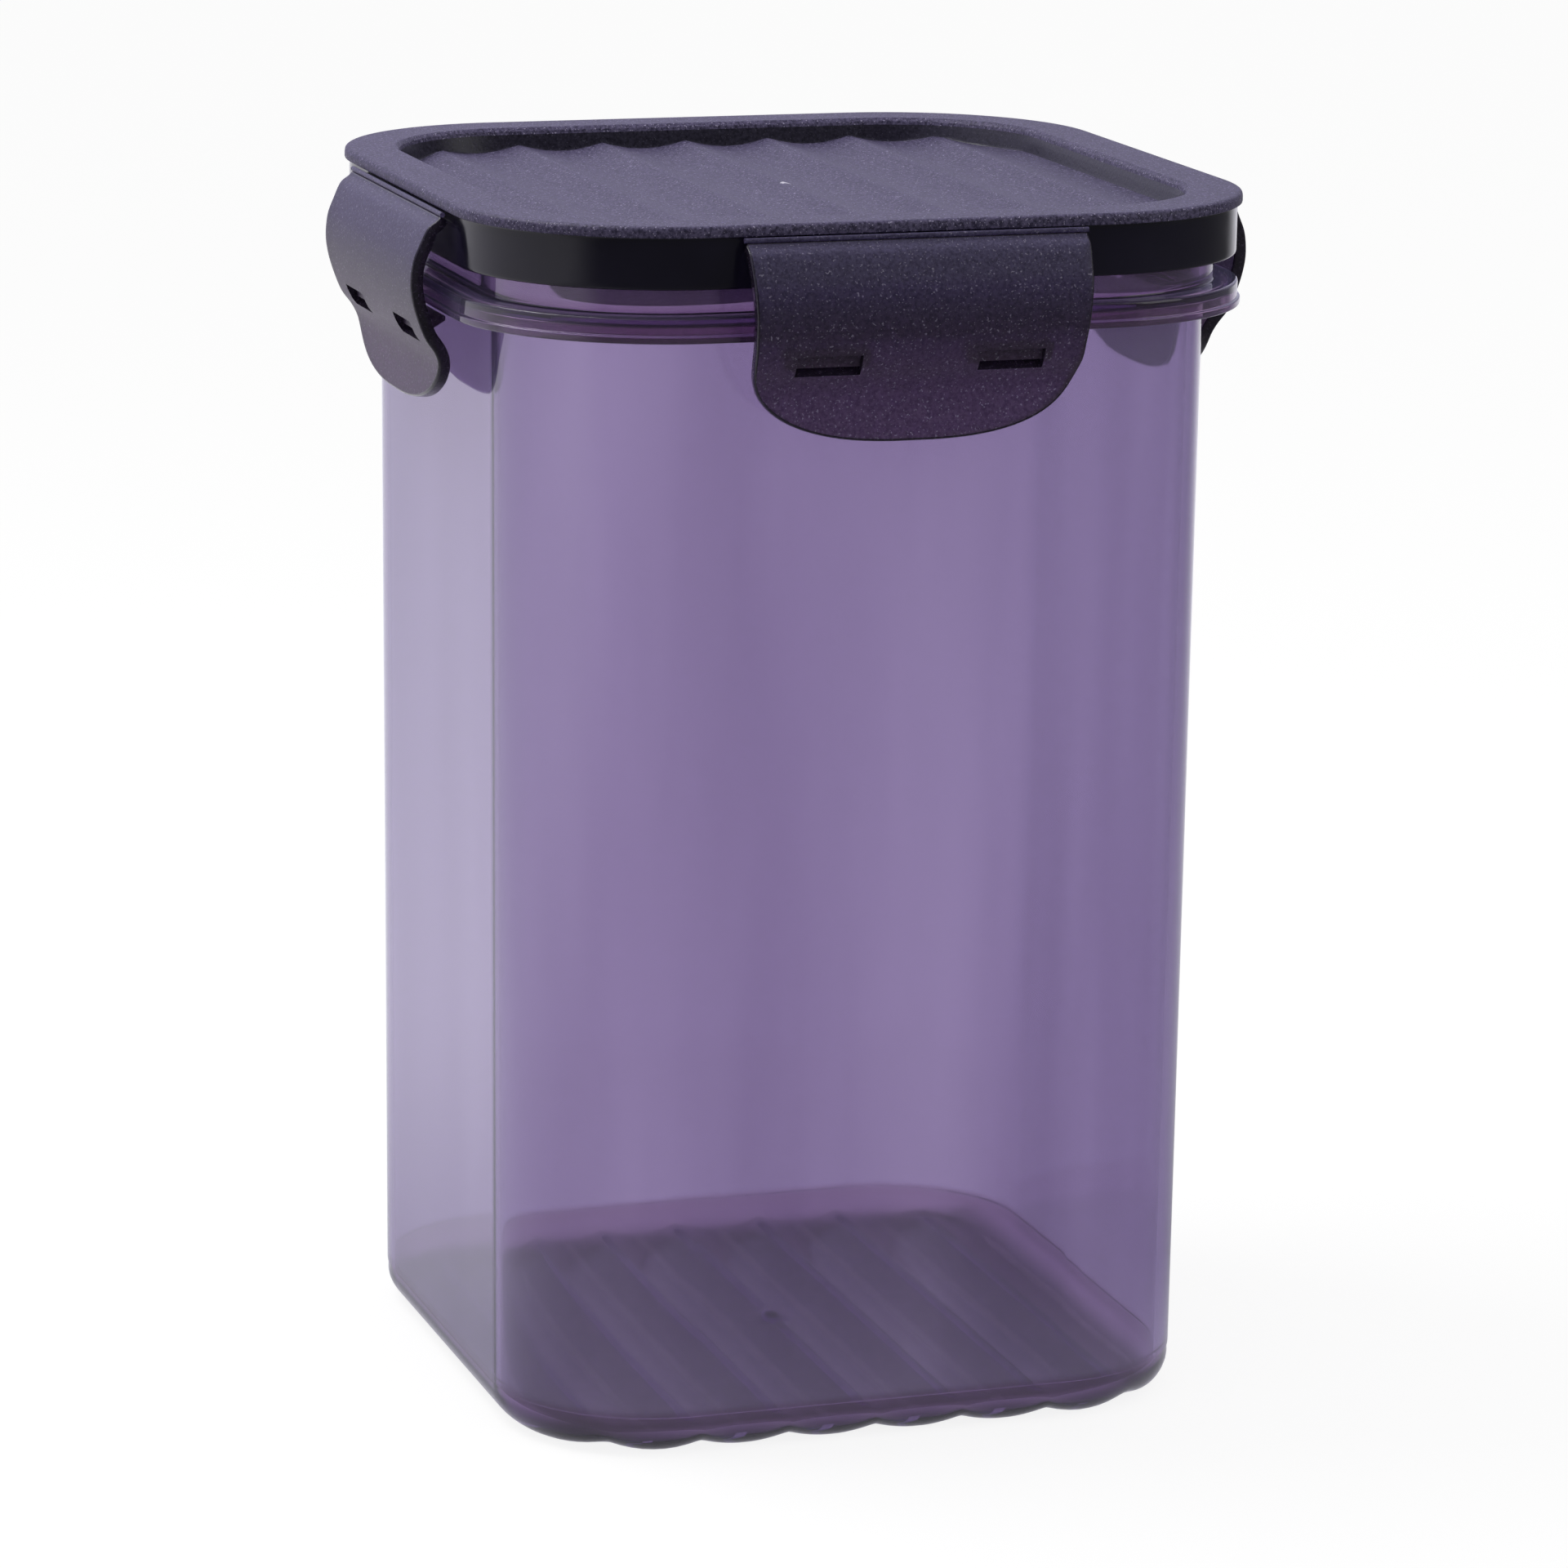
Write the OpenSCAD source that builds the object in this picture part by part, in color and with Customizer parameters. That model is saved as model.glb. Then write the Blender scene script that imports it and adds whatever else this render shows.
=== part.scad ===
// Square food canister with rounded corners, a recessed lid and four snap latches.
// Millimetres. +Z is up, the feet stand on z = 0, the front faces -Y.
// The container, the lid and the seal share one plan: a square of straight sides
// whose four corners turn about the points (+-corner_c, +-corner_c).

/* [Overall] */
// Width and depth across the lid rim
lid_w = 116; // [108:1:130]
// Height from the feet to the top of the lid border
canister_h = 176.5; // [130:0.5:240]
// Corner radius of the lid rim, seen from above
lid_corner_r = 29.7; // [28:0.1:32]

/* [Container] */
// Thickness of the container's side walls
wall_t = 2; // [1.6:0.1:2.4]
// Thickness of the ribbed floor
floor_t = 2; // [1.8:0.1:2.6]
// How much further out the wall stands under the collar than at the seam
wall_draft = 0.8; // [0.4:0.1:1.2]
// Height of the moulding seam above the feet
foot_h = 5.8; // [5.4:0.1:8]
// Radius of the rounded edge between floor and wall
foot_fillet_r = 4.5; // [3.6:0.1:5]
// Distance from one floor rib to the next, the same on the lid panel
rib_pitch = 13.1; // [11:0.1:15]
// Depth of the ribs in the floor and in the lid panel
rib_h = 1.1; // [0.6:0.1:1.4]
// Step from the body wall out to the neck above the collar
shoulder = 1.5; // [1.2:0.1:1.8]

/* [Collar] */
// Height of the collar that the latches hook under
collar_h = 3.5; // [3.2:0.1:4.4]
// Thickness of the collar's top flange and of its skirt
collar_t = 1.3; // [1:0.1:1.5]
// Height of the lip along the collar's lower edge
lip_h = 1; // [0.8:0.1:1.4]
// How far the lip stands out from the collar's face
lip_out = 0.4; // [0.2:0.1:0.5]
// How far the lip stays inside the lid rim
collar_inset = 0.9; // [0.7:0.1:1.2]

/* [Lid] */
// Width of the raised border round the lid
border_w = 9.5; // [9:0.1:11]
// Thickness of the rim that overhangs the skirt
rim_t = 1.6; // [1.5:0.1:2]
// How far the rim overhangs the skirt
rim_over = 1.5; // [1.3:0.1:1.7]
// Height of the skirt below the rim
skirt_h = 7.2; // [6.6:0.1:8]
// Thickness of the skirt
skirt_t = 1.4; // [1.2:0.1:1.6]
// Depth of the panel's troughs below the border
recess_d = 3.5; // [3.2:0.1:4]
// Thickness of the panel under its troughs
panel_t = 1.5; // [1.2:0.1:2]
// Thickness of the plug wall that drops into the neck
plug_t = 1.6; // [1.4:0.1:1.8]
// Depth of the plug wall below the rim
plug_h = 7.1; // [6.4:0.1:7.4]

/* [Seal] */
// Height of the silicone seal squeezed between neck and lid
seal_h = 2; // [1.8:0.1:2.4]

/* [Latches] */
// Width of a latch at the hinge, where the straight side allows it
latch_w = 49.6; // [44:0.2:50]
// How much each side edge of a latch leans in on its way down
latch_taper = 0.9; // [0:0.1:1.5]
// Height of a latch from the rim down to its tip
latch_h = 28.7; // [28:0.1:30]
// How far a latch bows out past the lid rim
latch_bow = 4.3; // [4:0.1:5]
// Thickness of a latch
latch_t = 1.4; // [1.2:0.1:1.5]
// Height over which a latch's outline rounds in towards its tip
latch_round_h = 12.6; // [8:0.2:14]
// Width of each slot above a latch's tab
slot_w = 9.4; // [7:0.2:10]
// Height of each slot
slot_h = 2.9; // [2.4:0.1:3.1]
// Distance between the two slots' centres
slot_apart = 26.4; // [24:0.2:28]
// Width of each of the two hooks, which stand behind the slots
hook_w = 12; // [11:0.5:14]
// Height of the hook
hook_h = 2.6; // [2.2:0.1:3]
// How far the hook reaches in under the lip
hook_reach = 1.2; // [0.9:0.1:1.4]
// Radius of the round strip that each latch bends about
web_r = 0.35; // [0.3:0.05:0.4]

/* [Clearances] */
// Between the lid's skirt and the collar below it
neck_show = 3.7; // [3.2:0.1:4.4]
// Between the skirt and the neck
neck_gap = 1.5; // [1.3:0.1:1.7]
// Between the plug wall and the inside of the neck
plug_gap = 0.5; // [0.4:0.1:0.7]
// Between the seal and the walls of its channel
seal_gap = 0.2; // [0.1:0.05:0.3]
// Between the hook and the lip over it
hook_gap = 1; // [0.9:0.05:1.2]
// Between the hinge strip and its seats in the rim and in the latch
web_gap = 0.05; // [0.04:0.01:0.08]

/* [Output] */
// Piece to draw

/* [Hidden] */
$fn = 64;

// plan: distances from the centre line out to each face
lid_half = lid_w / 2;
corner_c = lid_half - lid_corner_r;
skirt_out = lid_half - rim_over;
skirt_in = skirt_out - skirt_t;
neck_out = skirt_in - neck_gap;
neck_in = neck_out - wall_t;
plug_out = neck_in - plug_gap;
plug_in = plug_out - plug_t;
recess_half = lid_half - border_w;
body_top = neck_out - shoulder;
body_low = body_top - wall_draft;
lip_half = lid_half - collar_inset;
collar_half = lip_half - lip_out;

// heights, from the top down
rim_low = canister_h - rim_t;
neck_top = rim_low - seal_h;
skirt_low = rim_low - skirt_h;
plug_low = rim_low - plug_h;
trough_z = canister_h - recess_d;
collar_top = skirt_low - neck_show;
lip_low = collar_top - collar_h;
round_r = 0.4;
seam_step = 0.12;
rib_steps = 7;

// film hinge: a round strip under the rim's edge that the latch turns about
hinge_u = lid_half - 0.05;
hinge_z = rim_low - web_r - 0.05;
latch_half = min(latch_w / 2, corner_c - 2);
latch_low = rim_low - latch_h;
hook_top = lip_low - hook_gap;
hook_tip = lip_half - hook_reach;
slot_low = hook_top - 0.8 - slot_h;

// section of the latch's outer face: [share of the bow, share of the height]
LATCH_FACE = [
    [0.03, 0.02], [0.14, 0.042], [0.46, 0.08], [0.72, 0.16], [0.92, 0.235],
    [1, 0.33], [0.96, 0.41], [0.8, 0.505], [0.5, 0.62], [0.17, 0.69],
    [0, 0.745], [-0.04, 0.8], [-0.02, 0.87], [0.07, 1]
];

// a smooth curve through a list of points, n steps between neighbours
function spline_at(a, b, c, d, t) =
    0.5 * (2 * b + (c - a) * t + (2 * a - 5 * b + 4 * c - d) * t * t
    + (3 * b - a - 3 * c + d) * t * t * t);
function spline(p, n) = [
    for (i = [0 : len(p) - 2], k = [0 : n - 1])
        spline_at(p[max(i - 1, 0)], p[i], p[i + 1], p[min(i + 2, len(p) - 1)], k / n),
    p[len(p) - 1]
];
// the same curve moved sideways by d, to the inner side
function inward(p, d) = [
    for (i = [0 : len(p) - 1])
        let (
            t = p[min(i + 1, len(p) - 1)] - p[max(i - 1, 0)],
            s = norm(t)
        )
        p[i] + d * [t[1], -t[0]] / s
];
face_out = spline([
    for (p = LATCH_FACE) [lid_half + p[0] * latch_bow, rim_low - p[1] * latch_h]
], 3);
face_in = inward(face_out, latch_t);
// distance of the latch's inner face from the centre line at height z
function inner_face(z) = lookup(z, [for (p = face_in) [p[1], p[0]]]);

// height of the ribbed surface at x: rounded troughs that meet in upward ridges
function rib_z(t) = rib_h * (pow(2 * t, 2) - pow(1 / rib_steps, 2));
function rib_line(reach) = [
    for (i = [-ceil(reach / rib_pitch) : ceil(reach / rib_pitch) - 1],
         k = [0 : rib_steps - 1])
        [(i + k / rib_steps) * rib_pitch, rib_z(k / rib_steps - 0.5)]
];

// points on a quarter turn about c, from angle a to angle b
function turn(c, r, a, b, n = 6) = [
    for (i = [0 : n]) c + r * [cos(a + (b - a) * i / n), sin(a + (b - a) * i / n)]
];

// square plan of half width h with corners about corner_c
module plan(h) {
    for (a = [0, 90])
        rotate(a)
            square([2 * h, 2 * corner_c], center = true);
    for (x = [-corner_c, corner_c], y = [-corner_c, corner_c])
        translate([x, y])
            circle(h - corner_c);
}

module slab(h, low, high) {
    translate([0, 0, low])
        linear_extrude(high - low)
            plan(h);
}

// a closed section [distance from centre, height] carried round the whole plan
module swept(section) {
    for (a = [0 : 90 : 270])
        rotate([0, 0, a]) {
            rotate([90, 0, 0])
                linear_extrude(2 * corner_c, center = true)
                    polygon(section);
            translate([corner_c, corner_c, 0])
                rotate_extrude(angle = 90)
                    polygon([for (p = section) [p[0] - corner_c, p[1]]]);
        }
}

// the ribs run front to back; the solid fills from the ribbed line to z = far
module ribbed(far, lift) {
    reach = lid_half + rib_pitch;
    line = rib_line(reach);
    rotate([90, 0, 0])
        linear_extrude(2 * lid_w, center = true)
            polygon(concat(
                [for (p = line) [p[0], p[1] + lift]],
                [[line[len(line) - 1][0], far], [line[0][0], far]]
            ));
}

module container() {
    in_low = body_low - wall_t;
    in_r = 3;
    flat = body_low - seam_step - foot_fillet_r;
    section = concat(
        turn([flat, foot_fillet_r], foot_fillet_r, -90, 0),
        [
            [body_low - seam_step, foot_h], [body_low, foot_h + 0.1],
            [body_top, collar_top - collar_t],
            [collar_half - collar_t, collar_top - collar_t],
            [lip_half - collar_t - 0.2, lip_low], [lip_half, lip_low],
            [lip_half, lip_low + lip_h - 0.2],
            [collar_half + 0.1, lip_low + lip_h],
            [collar_half, collar_top - 0.3], [collar_half - 0.3, collar_top],
            [neck_out, collar_top],
            [neck_out, neck_top - round_r], [neck_out - round_r, neck_top],
            [neck_in + round_r, neck_top], [neck_in, neck_top - round_r],
            [neck_in, collar_top + 0.5], [body_top - wall_t, collar_top - 2]
        ],
        turn([in_low - in_r, floor_t + in_r], in_r, 0, -90),
        [[in_low - in_r, 0]]
    );
    color([0.55, 0.48, 0.66, 0.55])
    difference() {
        union() {
            swept(section);
            intersection() {
                slab(in_low - in_r + 0.8, -1, floor_t + 2 * rib_h);
                ribbed(-2, floor_t);
            }
        }
        ribbed(-3, 0);
    }
}

module lid() {
    grip = (recess_half + plug_out) / 2;
    section = [
        [plug_in, plug_low + 0.3], [plug_in + 0.3, plug_low],
        [plug_out - 0.6, plug_low], [plug_out, plug_low + 1.2],
        [plug_out, rim_low], [skirt_in, rim_low], [skirt_in, skirt_low],
        [skirt_out, skirt_low], [skirt_out, rim_low],
        [lid_half - 0.2, rim_low], [lid_half, rim_low + 0.2],
        [lid_half, canister_h - 0.8], [lid_half - 0.3, canister_h - 0.4],
        [lid_half - 0.9, canister_h - 0.15], [lid_half - 2.5, canister_h],
        [lid_half - 0.6 * border_w, canister_h - 0.02],
        [recess_half + 1.2, canister_h - 0.15], [recess_half + 0.4, canister_h - 0.4],
        [recess_half - 0.05, canister_h - 0.8],
        [recess_half - 0.6, trough_z + 1], [recess_half - 0.6, trough_z - 0.2],
        [plug_in, trough_z - panel_t - 0.2]
    ];
    color([0.42, 0.37, 0.52])
    difference() {
        union() {
            swept(section);
            slab(grip, trough_z - panel_t, trough_z + 2 * rib_h);
        }
        intersection() {
            slab(recess_half, trough_z - 1, canister_h + 1);
            ribbed(canister_h + 2, trough_z);
        }
    }
}

module seal() {
    color([0.82, 0.82, 0.84])
        difference() {
            slab(skirt_in - seal_gap, neck_top, rim_low);
            slab(plug_out + seal_gap, neck_top - 1, rim_low + 1);
        }
}

// the round strip that joins a latch to the rim, made for the +X side
module web() {
    translate([hinge_u, 0, hinge_z])
        rotate([90, 0, 0])
            cylinder(r = web_r, h = 2 * latch_half, center = true);
}

// half the latch's width at height h above its tip
function latch_side(h) =
    let (
        full = latch_h - latch_round_h,
        wide = latch_half - latch_taper * (1 - max(h - latch_round_h, 0) / full),
        t = max(1 - h / latch_round_h, 0)
    )
    wide * pow(max(1 - pow(t, 2.6), 0), 1 / 2.6);

module latch_outline() {
    steps = 18;
    rise = concat(
        [for (i = [1 : steps]) latch_round_h * (1 - cos(90 * i / steps))],
        [latch_h]
    );
    polygon(concat(
        [for (i = [len(rise) - 1 : -1 : 0]) [-latch_side(rise[i]), latch_low + rise[i]]],
        [[0, latch_low]],
        [for (h = rise) [latch_side(h), latch_low + h]]
    ));
}

// one latch, made for the +X side: bowed plate, seat for the strip, slots, hooks
module latch() {
    n = len(face_in);
    plate = concat(face_out, [for (i = [n - 1 : -1 : 0]) face_in[i]]);
    root = 0.5 * latch_t;
    hook = [
        [inner_face(hook_top) + root, hook_top], [hook_tip, hook_top],
        [hook_tip, hook_top - 0.6],
        [inner_face(hook_top - hook_h) + root, hook_top - hook_h]
    ];
    difference() {
        intersection() {
            rotate([90, 0, 0])
                linear_extrude(2 * latch_half + 2, center = true)
                    polygon(plate);
            translate([lid_half - latch_h / 2, 0, 0])
                rotate([90, 0, 90])
                    linear_extrude(latch_h)
                        latch_outline();
        }
        for (s = [-1, 1])
            translate([hook_tip, s * slot_apart / 2 - slot_w / 2, slot_low])
                cube([3 * latch_bow, slot_w, slot_h]);
        translate([hinge_u, 0, hinge_z])
            rotate([90, 0, 0])
                cylinder(r = web_r + web_gap, h = 2 * latch_half + 2, center = true);
    }
    for (s = [-1, 1])
        translate([0, s * slot_apart / 2, 0])
            rotate([90, 0, 0])
                linear_extrude(hook_w, center = true)
                    polygon(hook);
}

module side(a) {
    rotate([0, 0, a])
        children();
}

module web_right() { color([0.30, 0.26, 0.38]) side(0) web(); }
module web_back() { color([0.30, 0.26, 0.38]) side(90) web(); }
module web_left() { color([0.30, 0.26, 0.38]) side(180) web(); }
module web_front() { color([0.30, 0.26, 0.38]) side(270) web(); }
module latch_right() { color([0.45, 0.40, 0.56]) side(0) latch(); }
module latch_back() { color([0.45, 0.40, 0.56]) side(90) latch(); }
module latch_left() { color([0.45, 0.40, 0.56]) side(180) latch(); }
module latch_front() { color([0.45, 0.40, 0.56]) side(270) latch(); }

container();
lid();
seal();
web_front();
web_back();
web_left();
web_right();
latch_front();
latch_back();
latch_left();
latch_right();
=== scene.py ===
import math

import bmesh
import bpy
from mathutils import Matrix, Vector


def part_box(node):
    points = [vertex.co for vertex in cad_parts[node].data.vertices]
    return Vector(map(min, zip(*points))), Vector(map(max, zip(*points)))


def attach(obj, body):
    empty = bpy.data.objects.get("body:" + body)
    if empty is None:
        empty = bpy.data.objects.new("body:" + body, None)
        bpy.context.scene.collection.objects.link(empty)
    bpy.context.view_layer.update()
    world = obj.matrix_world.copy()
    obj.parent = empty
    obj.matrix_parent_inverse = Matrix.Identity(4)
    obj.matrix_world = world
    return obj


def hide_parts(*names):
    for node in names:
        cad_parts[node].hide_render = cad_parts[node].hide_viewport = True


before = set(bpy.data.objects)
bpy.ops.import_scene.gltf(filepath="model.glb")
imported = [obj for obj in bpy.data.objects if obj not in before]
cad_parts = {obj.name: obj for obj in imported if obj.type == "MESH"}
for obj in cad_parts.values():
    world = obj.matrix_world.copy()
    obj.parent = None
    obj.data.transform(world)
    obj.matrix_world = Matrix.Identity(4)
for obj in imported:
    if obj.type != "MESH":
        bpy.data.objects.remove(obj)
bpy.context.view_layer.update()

# ---------------------------------------------------------------------------
# Sizes. Lengths are in millimetres, as on the drawing, and MM turns them into
# metres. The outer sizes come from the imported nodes. Heights are above the floor
# that the canister stands on, and halves are measured from its axis.
# ---------------------------------------------------------------------------
MM = 0.001

lid_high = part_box("lid")[1]
body_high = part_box("container")[1]
latch_low, latch_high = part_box("latch_right")

LID_HALF = lid_high.x / MM
LID_TOP = lid_high.z / MM
LIP_FACE = body_high.x / MM + 0.3
NECK_TOP = body_high.z / MM
LATCH_TIP = latch_low.z / MM
LATCH_HALF = latch_high.y / MM
LATCH_BOW = latch_high.x / MM - LID_HALF

# lid
LID_CORNER_R = 29.7
CORNER_C = LID_HALF - LID_CORNER_R      # the corners of every plan turn about this point
RIM_T = 1.6
SKIRT_INSET = 1.5
SKIRT_H = 7.2
SKIRT_T = 1.4
PLUG_H = 7.1
PLUG_T = 1.6
BORDER_W = 9.0
RECESS_D = 3.5
PANEL_T = 1.5
RIM_LOW = LID_TOP - RIM_T
RIM_HALF = LID_HALF - 0.6
SKIRT_OUT = LID_HALF - SKIRT_INSET
SKIRT_LOW = RIM_LOW - SKIRT_H
SKIRT_IN = SKIRT_OUT - SKIRT_T
SKIRT_FACE = SKIRT_OUT + 0.2
PLUG_LOW = RIM_LOW - PLUG_H
RECESS_HALF = LID_HALF - BORDER_W
TROUGH_Z = LID_TOP - RECESS_D

# container
NECK_GAP = 1.5
PLUG_GAP = 0.5
SEAL_GAP = 0.2
WALL_T = 2.0
FLOOR_T = 2.0
SHOULDER = 1.5
WALL_DRAFT = 0.8
SEAM_Z = 5.8
SEAM_STEP = 0.12
FOOT_R = 4.5
FLOOR_R = 3.2
NECK_SHOW = 3.7
COLLAR_H = 3.5
COLLAR_T = 1.3
LIP_H = 1.0
LIP_OUT = 0.4
GATE_H = 0.5
GATE_R = 2.0
NECK_OUT = SKIRT_IN - NECK_GAP
NECK_IN = NECK_OUT - WALL_T
PLUG_OUT = NECK_IN - PLUG_GAP
PLUG_IN = PLUG_OUT - PLUG_T
BODY_TOP = NECK_OUT - SHOULDER
BODY_FOOT = BODY_TOP - WALL_DRAFT
COLLAR_TOP = SKIRT_LOW - NECK_SHOW
LIP_LOW = COLLAR_TOP - COLLAR_H
COLLAR_HALF = LIP_FACE - LIP_OUT

# ribs under and on the floor and on the lid's panel
RIB_PITCH = 13.1
RIB_H = 1.1
RIDGE_SOFT = 0.07
RIB_STEP = RIB_PITCH / 16
ARC_STEPS = 20


# ---------------------------------------------------------------------------
# Mesh helpers
# ---------------------------------------------------------------------------
def rib(x):
    """Height of the ribbed surface at x: rounded troughs that meet in soft ridges."""
    t = abs((x / RIB_PITCH) % 1.0 - 0.5) * 2
    ridge = max(t - 1 + RIDGE_SOFT, 0) ** 2 / (2 * RIDGE_SOFT)
    return max(RIB_H * (t * t - 2 * ridge * (1 - RIDGE_SOFT / 2) - 0.02), 0.0)


def straight_samples():
    """Places along a straight side, in step with the ribs so their ridges stay crisp."""
    n = int(CORNER_C / RIB_STEP)
    return [-CORNER_C] + [i * RIB_STEP for i in range(-n, n + 1)] + [CORNER_C]


STRAIGHT = straight_samples()


def plan_loop(u):
    """Points (x, y) round the square plan whose straight sides are u from the centre."""
    points = []
    for side in range(4):
        turn = Matrix.Rotation(side * math.pi / 2, 2)
        for t in STRAIGHT:
            points.append(turn @ Vector((u, t)))
        for i in range(1, ARC_STEPS):
            a = math.pi / 2 * i / ARC_STEPS
            r = u - CORNER_C
            points.append(turn @ Vector((CORNER_C + r * math.cos(a), CORNER_C + r * math.sin(a))))
    return points


def rounded(profile):
    """A line of (u, z, radius) as (u, z) points, with each corner turned at its radius."""
    out = [profile[0][:2]]
    for before, here, after in zip(profile, profile[1:], profile[2:]):
        p = Vector(here[:2])
        a = Vector(before[:2]) - p
        b = Vector(after[:2]) - p
        r = here[2]
        if r <= 0:
            out.append(tuple(p))
            continue
        half = a.angle(b) / 2
        reach = min(r / math.tan(half), 0.48 * a.length, 0.48 * b.length)
        start = p + a.normalized() * reach
        end = p + b.normalized() * reach
        for i in range(5):
            t = i / 4
            out.append(tuple(start * (1 - t) ** 2 + p * 2 * t * (1 - t) + end * t * t))
    out.append(profile[-1][:2])
    return out


def supported(line, margin=0.5):
    """The same line with a point close to both ends of each long stretch, for clean shading."""
    out = [line[0]]
    for a, b in zip(line, line[1:]):
        p, q = Vector(a), Vector(b)
        length = (q - p).length
        if length > 4 * margin:
            out.append(tuple(p.lerp(q, margin / length)))
            out.append(tuple(p.lerp(q, 1 - margin / length)))
        out.append(b)
    return out


def sweep(bm, line, slot=0, height=None):
    """Carries a line of (u, z) round the plan. height(x, y, u, z) may move a point up or down."""
    previous = None
    for u, z in line:
        loop = []
        for x, y in plan_loop(u):
            at = height(x, y, u, z) if height else z
            loop.append(bm.verts.new((x * MM, y * MM, at * MM)))
        if previous:
            n = len(loop)
            for i in range(n):
                j = (i + 1) % n
                face = bm.faces.new((previous[i], previous[j], loop[j], loop[i]))
                face.material_index = slot
        previous = loop


def middle(bm, height, slot=0):
    """Fills the square inside the corner centres."""
    grid = [
        [bm.verts.new((x * MM, y * MM, height(x, y) * MM)) for x in STRAIGHT]
        for y in STRAIGHT
    ]
    for row, above in zip(grid, grid[1:]):
        for i in range(len(row) - 1):
            face = bm.faces.new((row[i], row[i + 1], above[i + 1], above[i]))
            face.material_index = slot


def ring_steps(start, end, z):
    """Points from u = start to u = end at height z, in step with the ribs."""
    low, high = min(start, end), max(start, end)
    marks = range(int(low / RIB_STEP) + 1, int(high / RIB_STEP) + 1)
    inner = [i * RIB_STEP for i in marks if low + 0.1 < i * RIB_STEP < high - 0.1]
    us = [low] + inner + [high]
    if end < start:
        us.reverse()
    return [(u, z) for u in us]


def make_object(name, bm, materials, sharp=40):
    bmesh.ops.remove_doubles(bm, verts=bm.verts, dist=0.002 * MM)
    bmesh.ops.dissolve_degenerate(bm, edges=bm.edges, dist=0.001 * MM)
    bmesh.ops.recalc_face_normals(bm, faces=bm.faces)
    mesh = bpy.data.meshes.new(name)
    bm.to_mesh(mesh)
    bm.free()
    for material in materials:
        mesh.materials.append(material)
    mesh.polygons.foreach_set("use_smooth", [True] * len(mesh.polygons))
    mesh.set_sharp_from_angle(angle=math.radians(sharp))
    obj = bpy.data.objects.new(name, mesh)
    bpy.context.scene.collection.objects.link(obj)
    return obj


# ---------------------------------------------------------------------------
# Materials
# ---------------------------------------------------------------------------
def new_material(name):
    material = bpy.data.materials.new(name)
    material.use_nodes = True
    tree = material.node_tree
    shader = tree.nodes["Principled BSDF"]
    return material, tree, shader


def node(tree, kind, **values):
    made = tree.nodes.new(kind)
    for key, value in values.items():
        if hasattr(made, key):
            setattr(made, key, value)
        else:
            made.inputs[key.replace("_", " ")].default_value = value
    return made


def object_coords(tree, scale=(1, 1, 1)):
    coords = tree.nodes.new("ShaderNodeTexCoord")
    mapping = tree.nodes.new("ShaderNodeMapping")
    mapping.inputs["Scale"].default_value = scale
    tree.links.new(coords.outputs["Object"], mapping.inputs["Vector"])
    return mapping.outputs["Vector"]


def noise(tree, vector, scale, detail=2.0, rough=0.5):
    made = node(tree, "ShaderNodeTexNoise", Scale=scale, Detail=detail, Roughness=rough)
    tree.links.new(vector, made.inputs["Vector"])
    return made.outputs["Fac"]


def ramp(tree, source, *stops):
    """A colour ramp of (place, colour) stops on a value."""
    made = tree.nodes.new("ShaderNodeValToRGB")
    elements = made.color_ramp.elements
    while len(elements) < len(stops):
        elements.new(0.5)
    for element, (place, colour) in zip(elements, stops):
        element.position = place
        element.color = (*colour, 1)
    tree.links.new(source, made.inputs["Fac"])
    return made.outputs["Color"]


def level(tree, source, low, high, out_low, out_high):
    """A value from out_low to out_high as the source goes from low to high."""
    made = node(
        tree, "ShaderNodeMapRange",
        From_Min=low, From_Max=high, To_Min=out_low, To_Max=out_high,
    )
    tree.links.new(source, made.inputs["Value"])
    return made.outputs["Result"]


def feed(tree, socket, value):
    """Links a socket to an input, or sets a number or a colour on it."""
    if isinstance(value, bpy.types.NodeSocket):
        tree.links.new(value, socket)
    elif isinstance(value, tuple):
        socket.default_value = (*value, 1)
    else:
        socket.default_value = value


def mix(tree, factor, a, b, how="MIX"):
    """Colour a where the factor is 0 and b where it is 1."""
    made = tree.nodes.new("ShaderNodeMix")
    made.data_type = "RGBA"
    made.blend_type = how
    feed(tree, made.inputs["Factor"], factor)
    feed(tree, made.inputs["A"], a)
    feed(tree, made.inputs["B"], b)
    return made.outputs["Result"]


def blend_values(tree, factor, a, b):
    """Value a where the factor is 0 and b where it is 1."""
    made = tree.nodes.new("ShaderNodeMix")
    feed(tree, made.inputs[0], factor)
    feed(tree, made.inputs[2], a)
    feed(tree, made.inputs[3], b)
    return made.outputs[0]


def combined(tree, operation, a, b):
    """A sum, product, difference or the like of two values."""
    made = node(tree, "ShaderNodeMath", operation=operation)
    feed(tree, made.inputs[0], a)
    feed(tree, made.inputs[1], b)
    return made.outputs[0]


def height_in(tree):
    """Height above the floor in the piece's own coordinates."""
    place = tree.nodes.new("ShaderNodeSeparateXYZ")
    tree.links.new(object_coords(tree), place.inputs["Vector"])
    return place.outputs["Z"]


def bump(tree, shader, source, strength, distance):
    made = node(tree, "ShaderNodeBump", Strength=strength, Distance=distance)
    tree.links.new(source, made.inputs["Height"])
    tree.links.new(made.outputs["Normal"], shader.inputs["Normal"])
    return made


def tinted_by_height(tree, colour, low, high, stops):
    """Multiplies the colour by a ramp that runs from z = low to z = high."""
    share = level(tree, height_in(tree), low * MM, high * MM, 0, 1)
    return mix(tree, 1.0, colour, ramp(tree, share, *stops), "MULTIPLY")


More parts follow.
